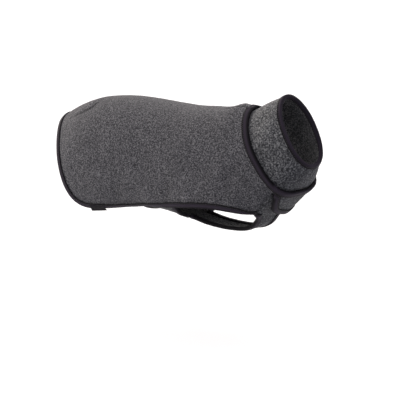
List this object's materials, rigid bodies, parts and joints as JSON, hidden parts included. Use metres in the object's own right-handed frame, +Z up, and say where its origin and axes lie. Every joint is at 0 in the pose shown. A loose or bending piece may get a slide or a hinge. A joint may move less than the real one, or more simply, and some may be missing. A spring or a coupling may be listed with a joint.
{
  "type": "dog fleece coat",
  "caption": "Cut-and-sewn dog coat worn over the back, with a stand-up collar, a chest bib that runs between the front legs to a belly band, and bound edges.",
  "frame": {"origin": "inner face of the back panel over the withers, on the centre plane, where the wearer's back carries the coat", "axes": "+X towards the neck, +Z up, +Y to the wearer's left"},
  "size_m": [0.5057, 0.1561, 0.2128],
  "materials": {
    "back_panel": "brushed fleece, grey marl",
    "chest_flap": "brushed fleece, grey marl",
    "bib": "brushed fleece, grey marl",
    "belly_band": "brushed fleece, grey marl",
    "collar": "brushed fleece, grey marl",
    "hem_binding": "folded woven binding tape, black",
    "neck_binding": "folded woven binding tape, black",
    "collar_binding": "folded woven binding tape, black",
    "bib_binding_right": "folded woven binding tape, black",
    "bib_binding_left": "folded woven binding tape, black",
    "flap_binding": "folded woven binding tape, black",
    "band_binding": "folded woven binding tape, black",
    "label": "plain woven tab"
  },
  "bodies": {
    "root": {"back_panel": "back_panel", "chest_flap": "chest_flap", "bib": "bib", "belly_band": "belly_band", "collar": "collar", "hem_binding": "hem_binding", "neck_binding": "neck_binding", "collar_binding": "collar_binding", "bib_binding_right": "bib_binding_right", "bib_binding_left": "bib_binding_left", "flap_binding": "flap_binding", "band_binding": "band_binding", "label": "label"}
  },
  "joints": []
}
